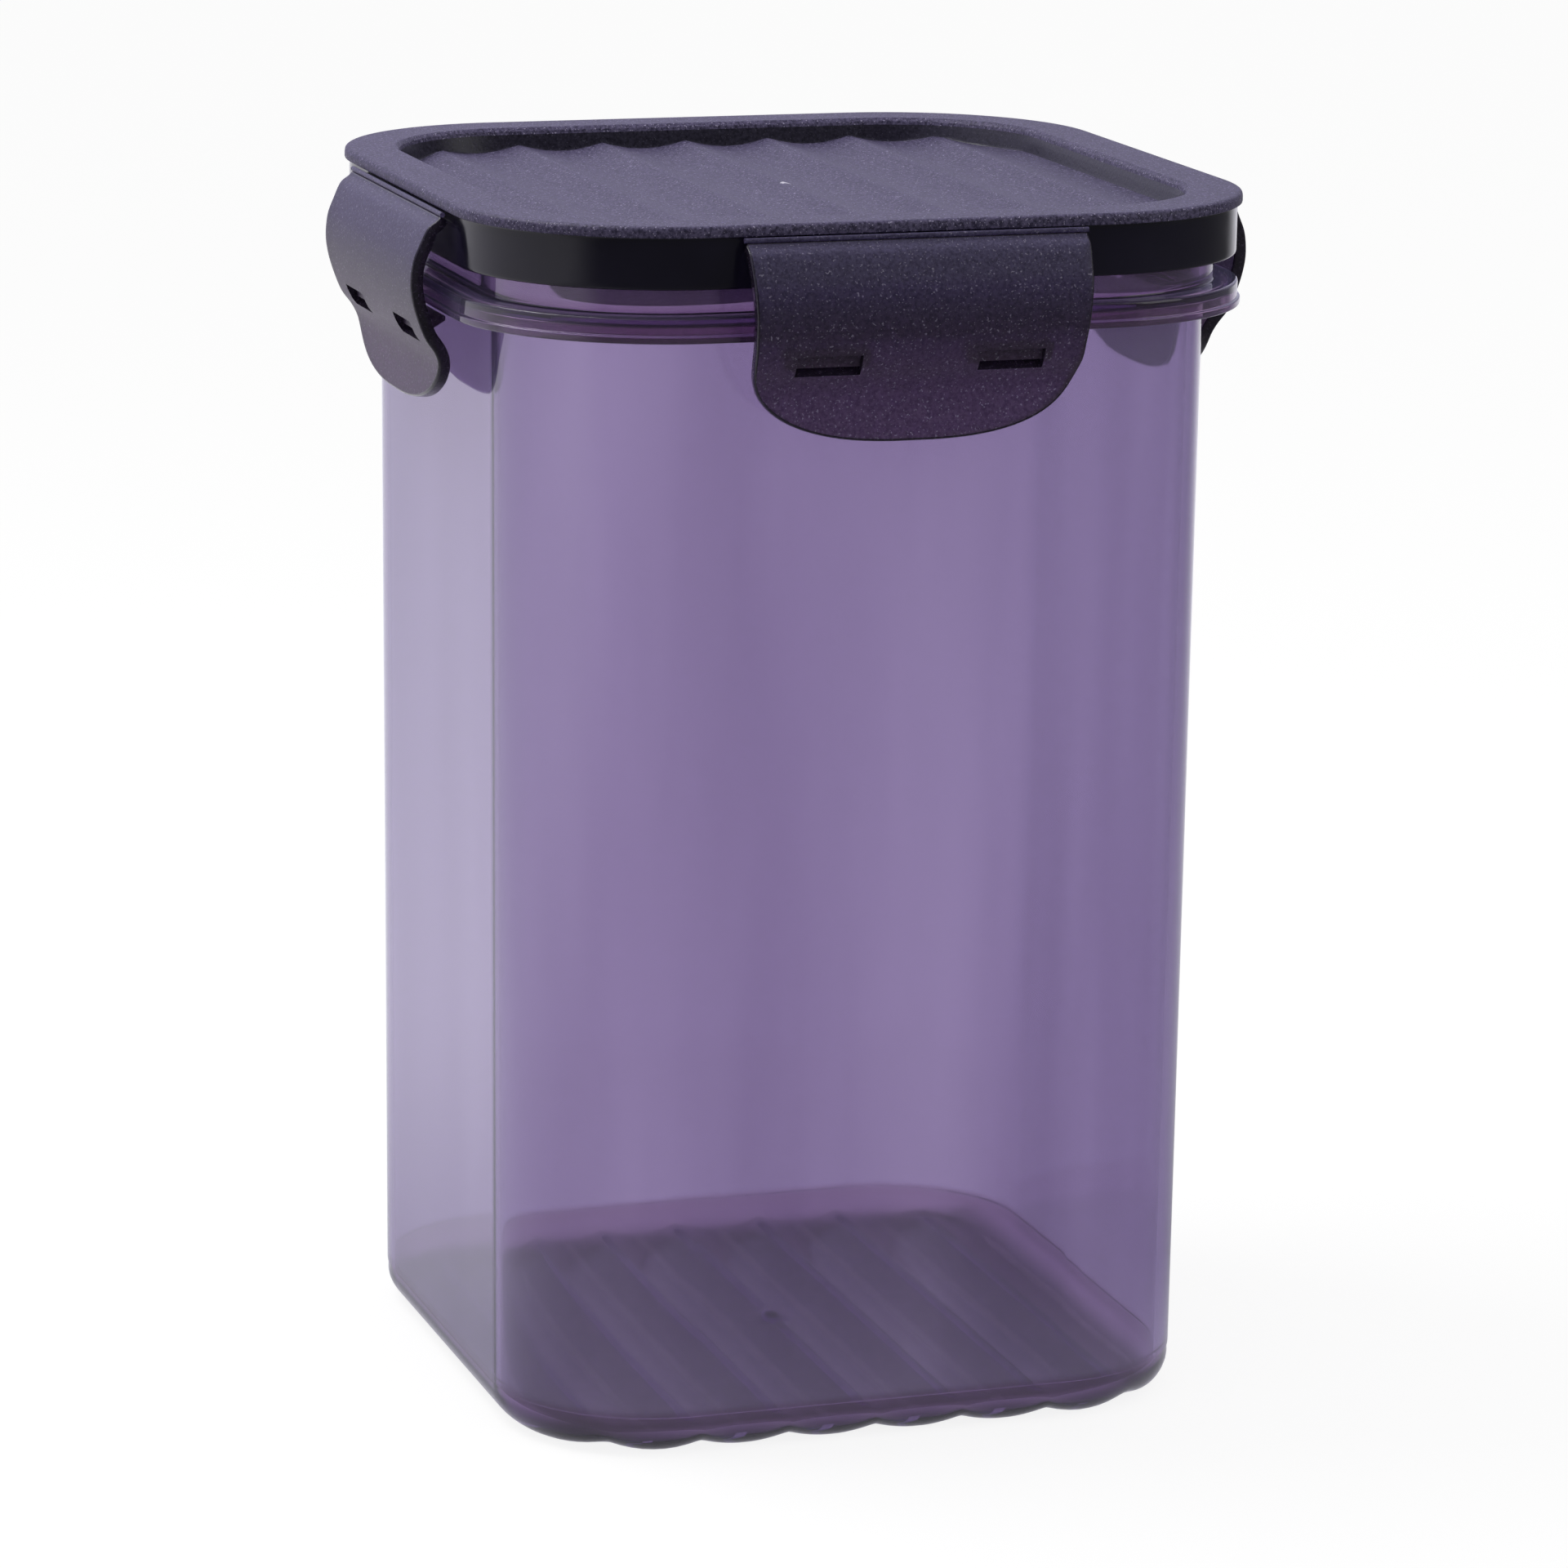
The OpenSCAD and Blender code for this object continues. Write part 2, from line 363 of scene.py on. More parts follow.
def absorption(tree, colour, density):
    """Tints what passes through the plastic by the length of its way through."""
    volume = tree.nodes.new("ShaderNodeVolumeAbsorption")
    volume.inputs["Color"].default_value = (*colour, 1)
    volume.inputs["Density"].default_value = density
    tree.links.new(volume.outputs[0], tree.nodes["Material Output"].inputs["Volume"])


def clear_plastic():
    """The container: clear purple plastic, a little wavy, with fine scuffs. Its colour is
    darker in the collar and the neck, and under the seam, as painted shade."""
    material, tree, shader = new_material("clear_purple_plastic")
    shader.inputs["Transmission Weight"].default_value = 0.94
    shader.inputs["IOR"].default_value = 1.49
    shader.inputs["Sheen Weight"].default_value = 0.16
    shader.inputs["Sheen Roughness"].default_value = 0.6
    shader.inputs["Sheen Tint"].default_value = (0.55, 0.58, 1.0, 1)
    streaks = noise(tree, object_coords(tree, (1, 1, 0.12)), 38, 3)
    colour = ramp(tree, streaks, (0.34, (0.80, 0.76, 0.84)), (0.66, (0.97, 0.95, 0.99)))
    z = height_in(tree)
    # painted shade: the collar, and a little less the neck, get a darker colour
    collar = level(tree, z, (LIP_LOW - 1) * MM, LIP_LOW * MM, 0, 1)
    neck = level(tree, z, COLLAR_TOP * MM, (COLLAR_TOP + 1.5) * MM, 1, 0.7)
    colour = mix(tree, combined(tree, "MULTIPLY", collar, neck), colour, (0.50, 0.36, 0.48))
    # painted shade: the foot below the seam gets a darker colour
    foot = level(tree, z, SEAM_Z * MM, (SEAM_Z + 1) * MM, 1, 0)
    colour = mix(tree, foot, colour, (0.58, 0.46, 0.58))
    tree.links.new(colour, shader.inputs["Base Color"])
    scuffs = noise(tree, object_coords(tree, (1, 1, 0.35)), 420, 4, 0.62)
    tree.links.new(level(tree, scuffs, 0.45, 0.75, 0.03, 0.08), shader.inputs["Roughness"])
    waves = noise(tree, object_coords(tree, (1, 1, 0.25)), 26, 1)
    bump(tree, shader, waves, 0.25, 0.6 * MM)
    absorption(tree, (0.345, 0.19, 0.555), 380)
    return material


def gate_scar(tree, vector, colour, radius):
    """The torn, pale mark that the moulding gate leaves on the axis."""
    ragged = node(tree, "ShaderNodeTexNoise", Scale=700, Detail=2)
    tree.links.new(vector, ragged.inputs["Vector"])
    shifted = node(tree, "ShaderNodeVectorMath", operation="MULTIPLY_ADD")
    tree.links.new(ragged.outputs["Color"], shifted.inputs[0])
    shifted.inputs[1].default_value = (2.4 * radius, 2.4 * radius, 0)
    tree.links.new(vector, shifted.inputs[2])
    flat = node(tree, "ShaderNodeVectorMath", operation="MULTIPLY_ADD")
    tree.links.new(shifted.outputs["Vector"], flat.inputs[0])
    flat.inputs[1].default_value = (1, 0.6, 0)
    flat.inputs[2].default_value = (-1.2 * radius, -0.7 * radius, 0)
    away = node(tree, "ShaderNodeVectorMath", operation="LENGTH")
    tree.links.new(flat.outputs["Vector"], away.inputs[0])
    torn = level(tree, away.outputs["Value"], 0.45 * radius, 0.7 * radius, 1, 0)
    return mix(tree, torn, colour, (0.62, 0.60, 0.68))


def grained_plastic(name, dark, light, speck, transmission=0.0, roughness=0.55, specular=0.5,
                    scar=0.0, painted_light_by_height=None):
    """The moulded matte finish: a fine grain with paler specks. scar is the radius of the
    gate's mark. The tint by height, where one is given, paints light and shade on a plate."""
    material, tree, shader = new_material(name)
    shader.inputs["IOR"].default_value = 1.49
    shader.inputs["Transmission Weight"].default_value = transmission
    shader.inputs["Specular IOR Level"].default_value = specular
    vector = object_coords(tree)
    mottle = noise(tree, vector, 2100, 3, 0.7)
    colour = ramp(tree, mottle, (0.38, dark), (0.62, light))
    specks = noise(tree, vector, 3100, 1, 0.5)
    speck_share = level(tree, specks, 0.65, 0.71, 0, 1)
    if painted_light_by_height:
        colour = tinted_by_height(tree, colour, *painted_light_by_height)
    colour = mix(tree, speck_share, colour, speck)
    if scar:
        colour = gate_scar(tree, vector, colour, scar)
    tree.links.new(colour, shader.inputs["Base Color"])
    worn = level(tree, mottle, 0.3, 0.7, roughness - 0.07, roughness + 0.07)
    tree.links.new(worn, shader.inputs["Roughness"])
    bump(tree, shader, noise(tree, vector, 1700, 2, 0.6), 0.5, 0.07 * MM)
    return material


def gloss_plastic():
    """The skirt and the underside of the lid: the same plastic left shiny by the mould."""
    material, tree, shader = new_material("dark_gloss_plastic")
    shader.inputs["IOR"].default_value = 1.49
    shader.inputs["Specular IOR Level"].default_value = 0.3
    vector = object_coords(tree)
    drift = noise(tree, vector, 60, 2)
    colour = ramp(tree, drift, (0.3, (0.006, 0.005, 0.013)), (0.7, (0.011, 0.009, 0.022)))
    tree.links.new(colour, shader.inputs["Base Color"])
    smears = noise(tree, vector, 300, 3)
    tree.links.new(level(tree, smears, 0.3, 0.7, 0.10, 0.20), shader.inputs["Roughness"])
    bump(tree, shader, noise(tree, vector, 90, 1), 0.1, 0.2 * MM)
    return material


def silicone():
    """The seal: soft pale silicone."""
    material, tree, shader = new_material("pale_silicone")
    vector = object_coords(tree)
    clouds = noise(tree, vector, 200, 3)
    colour = ramp(tree, clouds, (0.3, (0.58, 0.57, 0.60)), (0.7, (0.68, 0.67, 0.70)))
    tree.links.new(colour, shader.inputs["Base Color"])
    shader.inputs["Roughness"].default_value = 0.45
    bump(tree, shader, noise(tree, vector, 800, 2), 0.15, 0.1 * MM)
    return material


CLEAR = clear_plastic()
TOP = grained_plastic(
    "lid_grained_plastic", (0.022, 0.017, 0.046), (0.108, 0.091, 0.172), (0.32, 0.29, 0.42),
    specular=0.32, scar=1.3 * MM,
)
GLOSS = gloss_plastic()
# painted shade: a satin copy of the lid plastic, much darker, for the wall of the recess
SATIN_SHADED = grained_plastic(
    "recess_satin_shaded_plastic", (0.010, 0.008, 0.018), (0.024, 0.020, 0.040), (0.05, 0.045, 0.07),
    roughness=0.34, specular=0.4,
)
LATCH = grained_plastic(
    "latch_grained_plastic", (0.115, 0.082, 0.172), (0.250, 0.182, 0.350), (0.60, 0.54, 0.72),
    transmission=0.68, roughness=0.44, specular=0.05,
    # painted light and shade by height: warm at the tip for light coming through, painted shade
    # across the middle, a pale bluish painted highlight at the top
    painted_light_by_height=(LATCH_TIP, RIM_LOW, [
        (0.0, (0.98, 0.83, 0.87)), (0.35, (0.86, 0.75, 0.78)), (0.55, (0.50, 0.47, 0.53)),
        (0.72, (0.56, 0.60, 0.68)), (0.93, (0.82, 0.95, 1.0)),
    ]),
)
# painted shade: a much darker copy of the latch plastic for the plate's rounded edges and the
# slots' walls
LATCH_EDGE_SHADE = grained_plastic(
    "latch_edge_shaded_plastic", (0.014, 0.010, 0.020), (0.028, 0.021, 0.040), (0.07, 0.055, 0.09),
    transmission=0.3, roughness=0.22, specular=0.35,
)
SEAL = silicone()


# ---------------------------------------------------------------------------
# Container
# ---------------------------------------------------------------------------
def container_piece():
    bm = bmesh.new()
    flat = BODY_FOOT - SEAM_STEP - FOOT_R
    outer_floor = ring_steps(CORNER_C, flat, 0)
    fillet = [
        (flat + FOOT_R * math.sin(a), FOOT_R * (1 - math.cos(a)))
        for a in [math.pi / 2 * i / 16 for i in range(17)]
    ]

    def below(x, y, u, z):
        """The ribs run out up the rounding of the foot."""
        return z + rib(x) * (1 - z / FOOT_R)

    sweep(bm, outer_floor + fillet[1:], height=below)

    wall = rounded([
        (*fillet[-1], 0),
        (BODY_FOOT - SEAM_STEP - 0.05, SEAM_Z, 0.03),
        (BODY_FOOT, SEAM_Z + 0.12, 0.06),
        (BODY_TOP, COLLAR_TOP - COLLAR_T, 0.8),
        (COLLAR_HALF - COLLAR_T, COLLAR_TOP - COLLAR_T, 0.3),
        (LIP_FACE - COLLAR_T - 0.2, LIP_LOW, 0.1),
        (LIP_FACE, LIP_LOW, 0.25),
        (LIP_FACE, LIP_LOW + LIP_H, 0.25),
        (COLLAR_HALF, LIP_LOW + LIP_H + 0.1, 0.15),
        (COLLAR_HALF, COLLAR_TOP, 0.45),
        (NECK_OUT, COLLAR_TOP, 0.35),
        (NECK_OUT, NECK_TOP, 0.4),
        (NECK_IN, NECK_TOP, 0.4),
        (NECK_IN, COLLAR_TOP + 0.5, 2.0),
        (BODY_TOP - WALL_T, COLLAR_TOP - 2.5, 2.0),
        (BODY_FOOT - WALL_T, FLOOR_T + FLOOR_R, 0),
    ])
    sweep(bm, supported(wall))

    edge = BODY_FOOT - WALL_T - FLOOR_R
    inner_fillet = [
        (edge + FLOOR_R * math.cos(a), FLOOR_T + FLOOR_R * (1 - math.sin(a)))
        for a in [math.pi / 2 * i / 12 for i in range(13)]
    ]
    inner = inner_fillet + ring_steps(edge, CORNER_C, FLOOR_T)[1:]

    def gate(x, y):
        """The small mound that the moulding gate leaves in the middle of the floor."""
        return GATE_H * math.exp(-(x * x + y * y) / GATE_R ** 2)

    def inside(x, y, u, z):
        return max(z, FLOOR_T + rib(x))

    sweep(bm, inner, height=inside)
    middle(bm, lambda x, y: rib(x))
    middle(bm, lambda x, y: FLOOR_T + rib(x) + gate(x, y))
    return make_object("container_shell", bm, [CLEAR])


# ---------------------------------------------------------------------------
# Lid
# ---------------------------------------------------------------------------
def lid_piece():
    bm = bmesh.new()
    under = [(CORNER_C, TROUGH_Z - PANEL_T), (PLUG_IN - 0.5, TROUGH_Z - PANEL_T)]
    skirt = rounded([
        (PLUG_IN - 0.5, TROUGH_Z - PANEL_T, 0),
        (PLUG_IN, TROUGH_Z - PANEL_T, 0.4),
        (PLUG_IN, PLUG_LOW, 0.5),
        (PLUG_OUT - 0.3, PLUG_LOW, 0.6),
        (PLUG_OUT, PLUG_LOW + 1.4, 0.5),
        (PLUG_OUT, RIM_LOW, 0.3),
        (SKIRT_IN, RIM_LOW, 0.3),
        (SKIRT_IN, SKIRT_LOW, 0.3),
        (SKIRT_FACE, SKIRT_LOW, 0.45),
        (SKIRT_FACE, RIM_LOW - 0.1, 0.2),
        (RIM_HALF - 0.35, RIM_LOW, 0),
    ])
    border = rounded([
        (RIM_HALF - 0.35, RIM_LOW, 0),
        (RIM_HALF, RIM_LOW, 0.3),
        (RIM_HALF, LID_TOP, 0.9),
        (RECESS_HALF + 1.0, LID_TOP, 0.5),
        (RECESS_HALF + 0.4, LID_TOP - 0.5, 0.4),
        (RECESS_HALF + 0.25, LID_TOP - 1.0, 0),
    ])
    foot = (RECESS_HALF - 0.5, TROUGH_Z - 0.1)
    wall = rounded([
        (RECESS_HALF + 0.25, LID_TOP - 1.0, 0),
        (RECESS_HALF, LID_TOP - 1.8, 0.6),
        (*foot, 0),
    ])
    steps = [tuple(Vector(wall[-2]).lerp(Vector(foot), i / 8)) for i in range(1, 9)]

    def panel(x, y, u, z):
        return max(z, TROUGH_Z + rib(x))

    sweep(bm, supported(under), slot=1)
    sweep(bm, supported(skirt), slot=1)
    sweep(bm, supported(border), slot=0)
    # the recess wall takes the darker satin copy: painted shade
    sweep(bm, wall[:-1] + steps, slot=2, height=panel)
    sweep(bm, ring_steps(foot[0], CORNER_C, foot[1]), slot=0, height=panel)
    middle(bm, lambda x, y: TROUGH_Z + rib(x), slot=0)
    middle(bm, lambda x, y: TROUGH_Z - PANEL_T, slot=1)
    return make_object("lid_shell", bm, [TOP, GLOSS, SATIN_SHADED])


def seal_piece():
    bm = bmesh.new()
    low, high = NECK_TOP, RIM_LOW
    inner, outer = PLUG_OUT + SEAL_GAP, SKIRT_IN - SEAL_GAP
    centre = (inner + outer) / 2
    line = rounded([
        (centre, low, 0), (outer, low, 0.45), (outer, high, 0.45),
        (inner, high, 0.45), (inner, low, 0.45), (centre, low, 0),
    ])
    sweep(bm, line)
    return make_object("seal_ring", bm, [SEAL])


# ---------------------------------------------------------------------------
# Latches
# ---------------------------------------------------------------------------
LATCH_H = RIM_LOW - LATCH_TIP
LATCH_T = 1.4
EDGE_R = 0.32
TAPER = 0.9
LATCH_NARROW = LATCH_HALF - TAPER - EDGE_R      # half the width that the columns share
ROUND_H = 12.6
ROUND_POWER = 2.6
SLOT_W = 9.4
SLOT_H = 2.9
SLOT_APART = 26.4
SLOT_DROP = 0.8
HOOK_GAP = 1.0
HOOK_H = 2.6
HOOK_W = 12.0
HOOK_REACH = 1.2
HOOK_TOP = LIP_LOW - HOOK_GAP
HOOK_TIP = body_high.x / MM - HOOK_REACH
SLOT_LOW = HOOK_TOP - SLOT_DROP - SLOT_H
THICKER = 0.3       # share that the plate gains below its thin top edge

# section of the outer face: share of the bow, share of the height from the rim down
FACE = [
    (0.03, 0.02), (0.14, 0.042), (0.46, 0.08), (0.72, 0.16), (0.92, 0.235),
    (1.0, 0.33), (0.96, 0.41), (0.8, 0.505), (0.5, 0.62), (0.17, 0.69),
    (0.0, 0.745), (-0.04, 0.8), (-0.02, 0.87), (0.07, 1.0),
]


def spline(points, n):
    """A smooth curve through the points, n steps between neighbours."""
    out = []
    last = len(points) - 1
    for i in range(last):
        a, b = points[max(i - 1, 0)], points[i]
        c, d = points[i + 1], points[min(i + 2, last)]
        for k in range(n):
            t = k / n
            out.append(0.5 * (2 * b + (c - a) * t + (2 * a - 5 * b + 4 * c - d) * t * t
                              + (3 * b - a - 3 * c + d) * t ** 3))
    out.append(points[last])
    return out


FACE_LINE = spline([
    Vector((LID_HALF + bow * LATCH_BOW, RIM_LOW - drop * LATCH_H)) for bow, drop in FACE
], 8)


def face_at(z):
    """Point (distance from the centre, height) of the outer face at height z."""
    z = min(max(z, FACE_LINE[-1].y), FACE_LINE[0].y)
    for a, b in zip(FACE_LINE, FACE_LINE[1:]):
        if a.y >= z >= b.y:
            break
    return a.lerp(b, (a.y - z) / (a.y - b.y))


def inward_at(z):
    """Direction from the outer face to the inner one at height z."""
    reach = 0.35
    along = (face_at(z - reach) - face_at(z + reach)).normalized()
    return Vector((along.y, -along.x))


def latch_point(x, z, depth):
    """Point of the right latch: x along its width, z up, depth in from the outer face.
    The plate thickens a little below its thin top edge."""
    thick = 1 + THICKER * min(max((RIM_LOW - 1 - z) / 3, 0), 1)
    p = face_at(z) + inward_at(z) * depth * thick
    return Vector((p.x, x, p.y))


def half_width(z, inset=0.0):
    """Half the latch's width at height z."""
    h = z - LATCH_TIP
    wide = LATCH_HALF - TAPER * (1 - max(h - ROUND_H, 0) / (LATCH_H - ROUND_H))
    t = min(max((ROUND_H - h) / (ROUND_H - inset), 0), 1)
    return (wide - inset) * max(1 - t ** ROUND_POWER, 0) ** (1 / ROUND_POWER)


def latch_rows():
    """Heights of the rows of the plate, from the top edge to the tip."""
    top = FACE_LINE[0].y - EDGE_R - 0.02
    tip = LATCH_TIP + EDGE_R + 0.02
    rows = [top - 0.12 * i for i in range(14)]
    z = rows[-1]
    while z > SLOT_LOW + SLOT_H + 0.5:
        z -= 0.55
        rows.append(z)
    rows = [r for r in rows if r > SLOT_LOW + SLOT_H + 0.2]
    rows += [SLOT_LOW + SLOT_H - SLOT_H * i / 6 for i in range(7)]
    span = SLOT_LOW - tip
    rows += [tip + span * (1 - math.sin(math.pi / 2 * i / 22)) for i in range(1, 23)]
    return rows


def latch_columns():
    """Shares of the half width, with columns on the slots' sides."""
    marks = [SLOT_APART / 2 - SLOT_W / 2, SLOT_APART / 2 + SLOT_W / 2]
    half = [marks[0] * i / 7 for i in range(8)]
    half += [marks[0] + SLOT_W * i / 8 for i in range(1, 9)]
    half += [marks[1] + (LATCH_NARROW - marks[1]) * i / 6 for i in range(1, 7)]
    shares = [v / LATCH_NARROW for v in half]
    return [-s for s in reversed(shares[1:])] + shares


def slot_cell(x, z):
    """True inside a slot."""
    across = abs(abs(x) - SLOT_APART / 2) < SLOT_W / 2
    return across and SLOT_LOW < z < SLOT_LOW + SLOT_H


def loop_walls(bm, loops, slot):
    for a, b in zip(loops, loops[1:]):
        n = len(a)
        for i in range(n):
            j = (i + 1) % n
            face = bm.faces.new((a[i], a[j], b[j], b[i]))
            face.material_index = slot


def spot(s, z):
    """x of the column at share s. Columns stay upright beside the slots and gather
    towards the tip."""
    edge = half_width(z, EDGE_R)
    if z < SLOT_LOW:
        return s * edge
    fixed = (SLOT_APART / 2 + SLOT_W / 2) / LATCH_NARROW
    if abs(s) <= fixed:
        return s * LATCH_NARROW
    t = (abs(s) - fixed) / (1 - fixed)
    return math.copysign(fixed * LATCH_NARROW + (edge - fixed * LATCH_NARROW) * t, s)


def outline_loop(rows, columns):
    """The plate's edge as (x, z), once round."""
    right = [(spot(1, z), z) for z in rows]
    bottom = [(spot(s, rows[-1]), rows[-1]) for s in reversed(columns[1:-1])]
    left = [(-x, z) for x, z in reversed(right)]
    top = [(spot(s, rows[0]), rows[0]) for s in columns[1:-1]]
    return right + bottom + left + top


def outward(loop):
    """Outward directions along a closed line that runs clockwise."""
    n = len(loop)
    out = []
    for i in range(n):
        a, b = Vector(loop[i - 1]), Vector(loop[(i + 1) % n])
        along = (b - a).normalized()
        out.append(Vector((-along.y, along.x)))
    return out


def latch_faces(bm, rows, columns):
    """The outer and the inner face of the plate, open at the slots."""
    for depth in (0, LATCH_T):
        grid = [
            [bm.verts.new(latch_point(spot(s, z), z, depth) * MM) for s in columns]
            for z in rows
        ]
        for (za, upper), (zb, lower) in zip(zip(rows, grid), zip(rows[1:], grid[1:])):
            for i in range(len(columns) - 1):
                x = (spot(columns[i], zb) + spot(columns[i + 1], zb)) / 2
                if slot_cell(x, (za + zb) / 2):
                    continue
                bm.faces.new((upper[i], upper[i + 1], lower[i + 1], lower[i]))


def latch_rounding(bm, rows, columns):
    """The rounded edge all round the plate."""
    edge = outline_loop(rows, columns)
    away = outward(edge)
    loops = []
    for a in [math.pi * i / 8 for i in range(9)]:
        shift = EDGE_R * math.sin(a)
        depth = EDGE_R * (1 - math.cos(a))
        if a > math.pi / 2:
            depth = LATCH_T - EDGE_R * (1 + math.cos(a))
        loops.append([
            bm.verts.new(latch_point(x + n.x * shift, z + n.y * shift, depth) * MM)
            for (x, z), n in zip(edge, away)
        ])
    loop_walls(bm, loops, 1)


def latch_slots(bm, rows):
    """The walls of the two slots."""
    slot_rows = [z for z in rows if SLOT_LOW - 0.01 <= z <= SLOT_LOW + SLOT_H + 0.01]
    for sign in (-1, 1):
        xs = [sign * (SLOT_APART / 2 - SLOT_W / 2 + SLOT_W * i / 8) for i in range(9)]
        hole = [(xs[0], z) for z in slot_rows] + [(x, slot_rows[-1]) for x in xs[1:]]
        hole += [(xs[-1], z) for z in reversed(slot_rows[:-1])]
        hole += [(x, slot_rows[0]) for x in reversed(xs[1:-1])]
        loop_walls(bm, [
            [bm.verts.new(latch_point(x, z, depth) * MM) for x, z in hole]
            for depth in (0, LATCH_T)
        ], 1)


def latch_hooks(bm):
    """The two hooks, rooted in the plate behind the slots."""
    root = latch_point(0, HOOK_TOP, LATCH_T * 0.55).x
    low_root = latch_point(0, HOOK_TOP - HOOK_H, LATCH_T * 0.55).x
    section = rounded([
        (root, HOOK_TOP - 0.2, 0), (root, HOOK_TOP, 0.05), (HOOK_TIP, HOOK_TOP, 0.25),
        (HOOK_TIP, HOOK_TOP - 0.7, 0.35), (low_root, HOOK_TOP - HOOK_H, 0.1),
        (low_root, HOOK_TOP - 2, 0),
    ])
    for sign in (-1, 1):
        ends = []
        for y in (-HOOK_W / 2, -HOOK_W / 2 + 0.4, HOOK_W / 2 - 0.4, HOOK_W / 2):
            squeeze = 0.85 if abs(y) == HOOK_W / 2 else 1.0
            across = y + sign * SLOT_APART / 2
            ends.append([
                bm.verts.new(Vector((root + (u - root) * squeeze, across, z)) * MM)
                for u, z in section
            ])
        loop_walls(bm, ends, 0)
        for end in (ends[0], ends[-1]):
            bm.faces.new(end)


def latch_piece(side, angle):
    """A whole latch, made on the right side and turned by the angle to its own."""
    bm = bmesh.new()
    rows, columns = latch_rows(), latch_columns()
    latch_faces(bm, rows, columns)
    latch_rounding(bm, rows, columns)
    latch_slots(bm, rows)
    bmesh.ops.remove_doubles(bm, verts=bm.verts, dist=0.002 * MM)
    latch_hooks(bm)
    turn = Matrix.Rotation(math.radians(angle), 3, "Z")
    bmesh.ops.rotate(bm, verts=bm.verts, matrix=turn)
    return make_object("latch_plate_" + side, bm, [LATCH, LATCH_EDGE_SHADE], sharp=50)


shell = container_piece()
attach(shell, "container")
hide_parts("container")

lid = lid_piece()
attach(lid, "lid")
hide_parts("lid")

seal = seal_piece()
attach(seal, "lid")
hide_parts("seal")

for side, angle in (("right", 0), ("back", 90), ("left", 180), ("front", 270)):
    plate = latch_piece(side, angle)
    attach(plate, "latch_" + side)
    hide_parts("latch_" + side)
    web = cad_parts["web_" + side]
    # the webs take the latch plastic, with its painted light and shade by height
    web.data.materials.clear()
    web.data.materials.append(LATCH)


# ---------------------------------------------------------------------------
# Stage
# ---------------------------------------------------------------------------
FLOOR_HALF = 3.0                            # metres, like every length of the stage
FLOOR_GLOW = 0.86
UNDER_SHADOW_GLOW = 0.08                           # the floor under the canister, seen through the plastic: a painted shadow
UNDER_IN = 0.043                            # up to here from the axis it is all dim
UNDER_OUT = 0.055                           # and from here on it has the full glow
STUDIO_SIDE = Vector((-0.55, 0.80, 0.65))   # towards the lit part of the studio
WHITE = (1.0, 1.0, 1.0)
FLOOR_TINT = (0.93, 0.91, 1.0)
WORLD_TINT = (0.80, 0.78, 1.0)
KEY_W = 1.7
FILL_W = 2.0
LENS = 145.3
CAMERA_PLACE = (-0.28579, -0.86469, 0.29696)
CAMERA_TURN = (18.353, 13.118, 0.765)       # yaw, pitch and roll in degrees


def seen_ray(tree, path):
    """1 for the rays by which the background is seen, directly or through plastic."""
    return combined(
        tree, "MAXIMUM", path.outputs["Is Camera Ray"], path.outputs["Is Transmission Ray"],
    )


def lit_side(tree, vector, reach, dark, bright):
    """From dark, before the object, to bright, behind it."""
    along = node(tree, "ShaderNodeVectorMath", operation="DOT_PRODUCT")
    along.inputs[1].default_value = STUDIO_SIDE
    tree.links.new(vector, along.inputs[0])
    made = node(
        tree, "ShaderNodeMapRange", interpolation_type="SMOOTHSTEP",
        From_Min=-0.5 * reach, From_Max=0.7 * reach, To_Min=dark, To_Max=bright,
    )
    tree.links.new(along.outputs["Value"], made.inputs["Value"])
    return made.outputs["Result"]


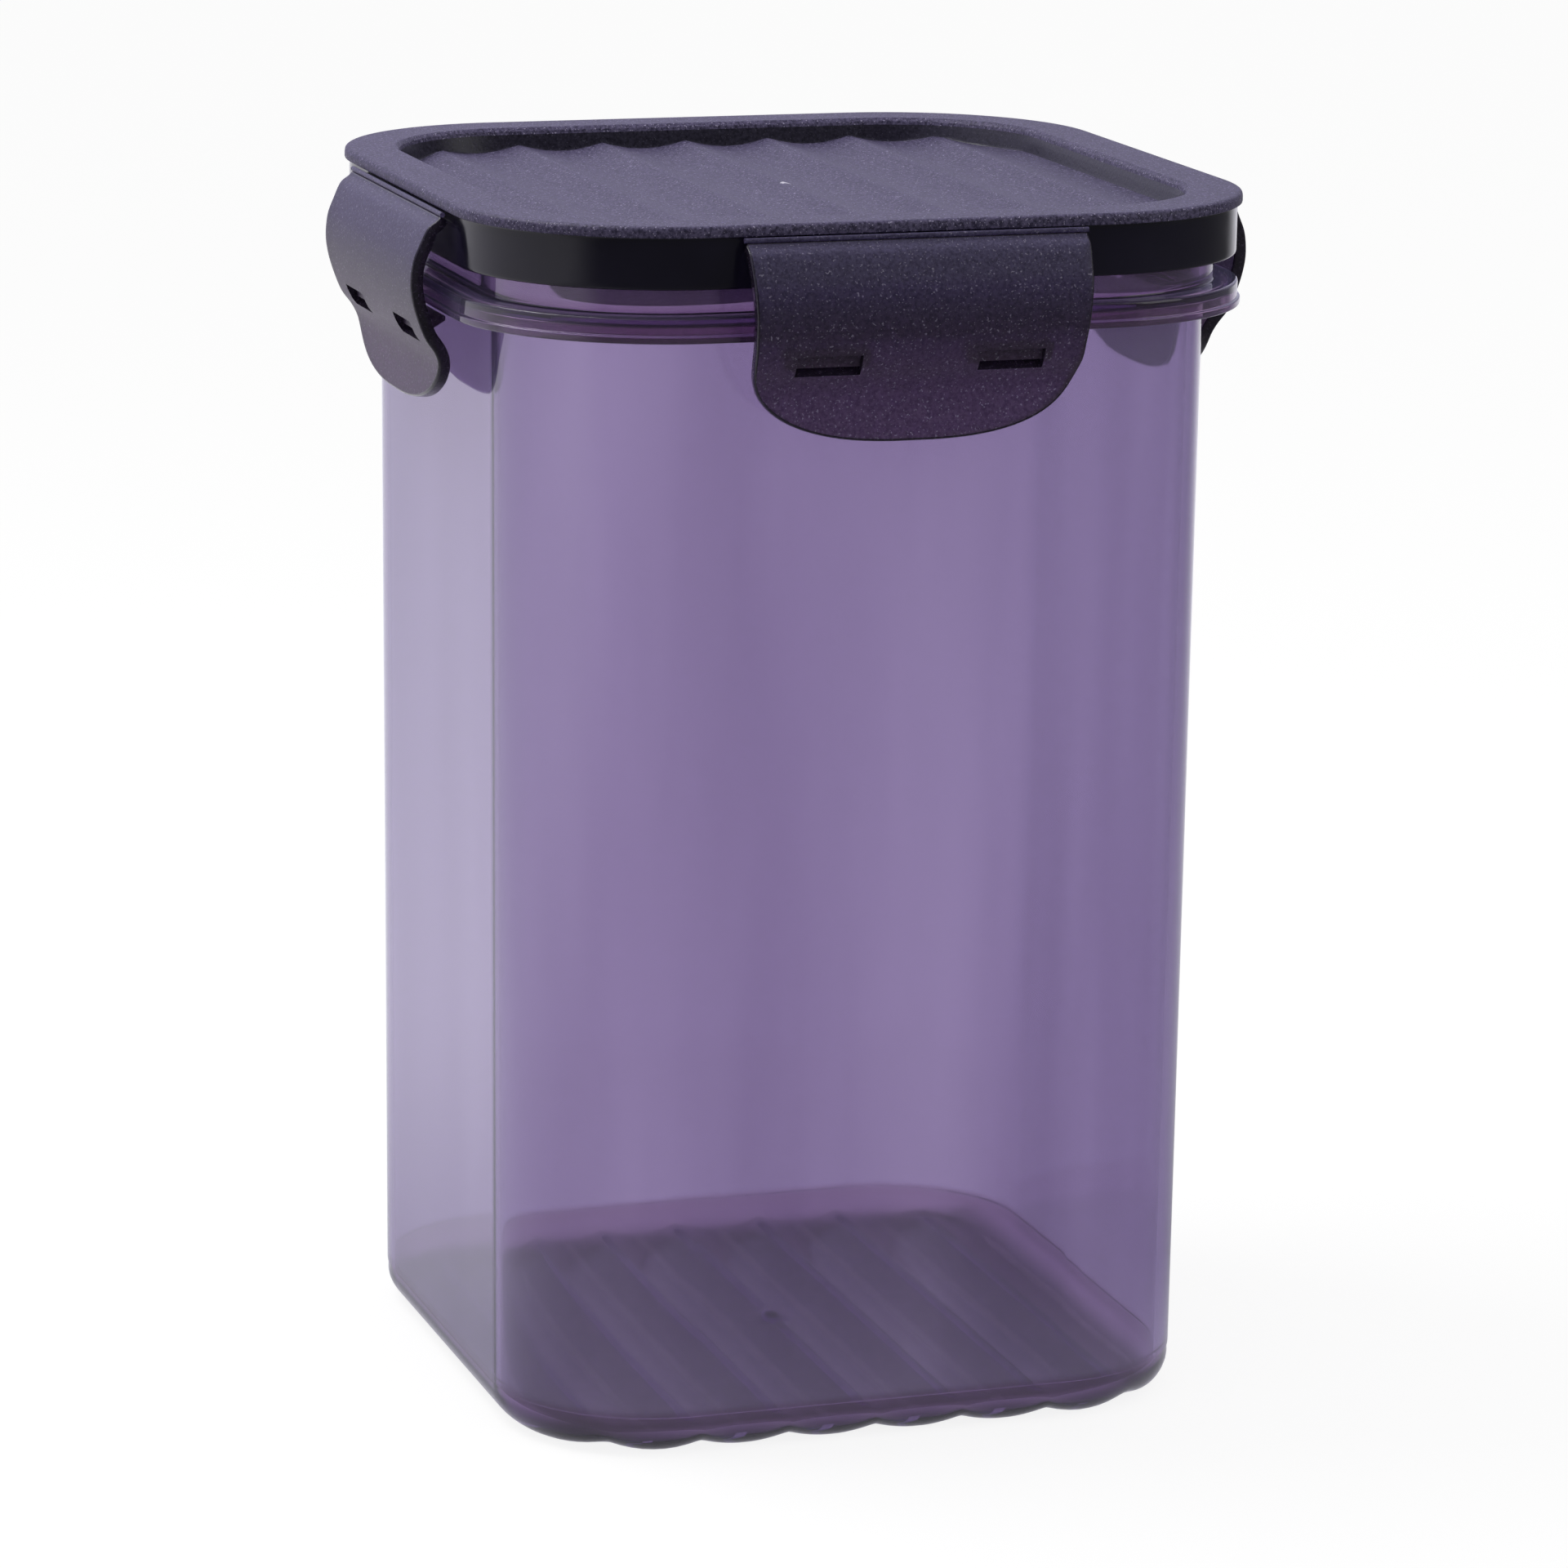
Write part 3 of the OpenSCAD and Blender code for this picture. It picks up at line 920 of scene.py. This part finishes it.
def build_floor():
    """A pale floor. Where it is seen through the plastic under the canister, its glow
    is cut to a painted shadow, and in reflections it is bright behind the canister and dark in
    front of it."""
    bm = bmesh.new()
    bmesh.ops.create_grid(bm, x_segments=8, y_segments=8, size=FLOOR_HALF)
    mesh = bpy.data.meshes.new("floor")
    bm.to_mesh(mesh)
    bm.free()
    floor = bpy.data.objects.new("floor", mesh)
    bpy.context.scene.collection.objects.link(floor)
    material, tree, shader = new_material("pale_floor")
    shader.inputs["Roughness"].default_value = 0.9
    shader.inputs["Specular IOR Level"].default_value = 0.0
    shader.inputs["Base Color"].default_value = (0.21, 0.21, 0.21, 1)
    glow = tree.nodes.new("ShaderNodeEmission")
    path = tree.nodes.new("ShaderNodeLightPath")
    place = object_coords(tree)
    away = node(tree, "ShaderNodeVectorMath", operation="ABSOLUTE")
    tree.links.new(place, away.inputs[0])
    sides = tree.nodes.new("ShaderNodeSeparateXYZ")
    tree.links.new(away.outputs["Vector"], sides.inputs["Vector"])
    distance = combined(tree, "MAXIMUM", sides.outputs["X"], sides.outputs["Y"])
    under = node(
        tree, "ShaderNodeMapRange", interpolation_type="SMOOTHSTEP",
        From_Min=UNDER_IN, From_Max=UNDER_OUT, To_Min=UNDER_SHADOW_GLOW, To_Max=FLOOR_GLOW,
    )
    tree.links.new(distance, under.inputs["Value"])
    far = lit_side(tree, place, 0.35, 0.04, 1.0)
    near = level(tree, distance, 0.05, 0.13, 0.6, 0)
    mirrored = combined(tree, "MAXIMUM", far, near)
    tint = mix(tree, path.outputs["Is Glossy Ray"], WHITE, FLOOR_TINT)
    tree.links.new(mix(tree, seen_ray(tree, path), tint, WHITE), glow.inputs["Color"])
    strength = blend_values(tree, path.outputs["Is Glossy Ray"], 0.0, mirrored)
    # painted shadow: seen through the plastic, the floor's glow drops under the canister
    shadow_glow = under.outputs["Result"]
    strength = blend_values(tree, path.outputs["Is Transmission Ray"], strength, shadow_glow)
    strength = blend_values(tree, path.outputs["Is Camera Ray"], strength, FLOOR_GLOW)
    tree.links.new(strength, glow.inputs["Strength"])
    both = tree.nodes.new("ShaderNodeAddShader")
    tree.links.new(shader.outputs[0], both.inputs[0])
    tree.links.new(glow.outputs[0], both.inputs[1])
    tree.links.new(both.outputs[0], tree.nodes["Material Output"].inputs["Surface"])
    mesh.materials.append(material)


def build_world():
    """A white studio that reflections see bright behind the canister and dark in front."""
    world = bpy.data.worlds.new("studio")
    bpy.context.scene.world = world
    world.use_nodes = True
    tree = world.node_tree
    background = tree.nodes["Background"]
    path = tree.nodes.new("ShaderNodeLightPath")
    coords = tree.nodes.new("ShaderNodeTexCoord")
    mirrored = lit_side(tree, coords.outputs["Generated"], 1.0, 0.05, 1.0)
    strength = blend_values(tree, path.outputs["Is Glossy Ray"], 0.5, mirrored)
    seen = seen_ray(tree, path)
    strength = blend_values(tree, seen, strength, 1.0)
    tree.links.new(strength, background.inputs["Strength"])
    tint = mix(tree, path.outputs["Is Glossy Ray"], WHITE, WORLD_TINT)
    tree.links.new(mix(tree, seen, tint, WHITE), background.inputs["Color"])


def area_lamp(name, place, size, power):
    data = bpy.data.lights.new(name, "AREA")
    data.shape = "RECTANGLE"
    data.size, data.size_y = size
    data.energy = power
    lamp = bpy.data.objects.new(name, data)
    lamp.location = place
    aim = Vector((0, 0, 0.1)) - Vector(place)
    lamp.rotation_euler = aim.to_track_quat("-Z", "Y").to_euler()
    bpy.context.scene.collection.objects.link(lamp)
    return lamp


def build_camera():
    data = bpy.data.cameras.new("camera")
    data.sensor_width = 36.0
    data.lens = LENS
    camera = bpy.data.objects.new("camera", data)
    yaw, pitch, roll = (math.radians(v) for v in CAMERA_TURN)
    turn = Matrix.Rotation(-yaw, 4, "Z") @ Matrix.Rotation(math.pi / 2 - pitch, 4, "X")
    turn = turn @ Matrix.Rotation(roll, 4, "Z")
    camera.matrix_world = Matrix.Translation(CAMERA_PLACE) @ turn
    bpy.context.scene.collection.objects.link(camera)
    bpy.context.scene.camera = camera


build_floor()
build_world()
area_lamp("key", (-0.27, 0.15, 0.60), (0.35, 0.35), KEY_W)
area_lamp("fill", (0.9, -0.6, 0.6), (0.6, 0.9), FILL_W)
build_camera()

bpy.context.scene.view_settings.view_transform = "Standard"
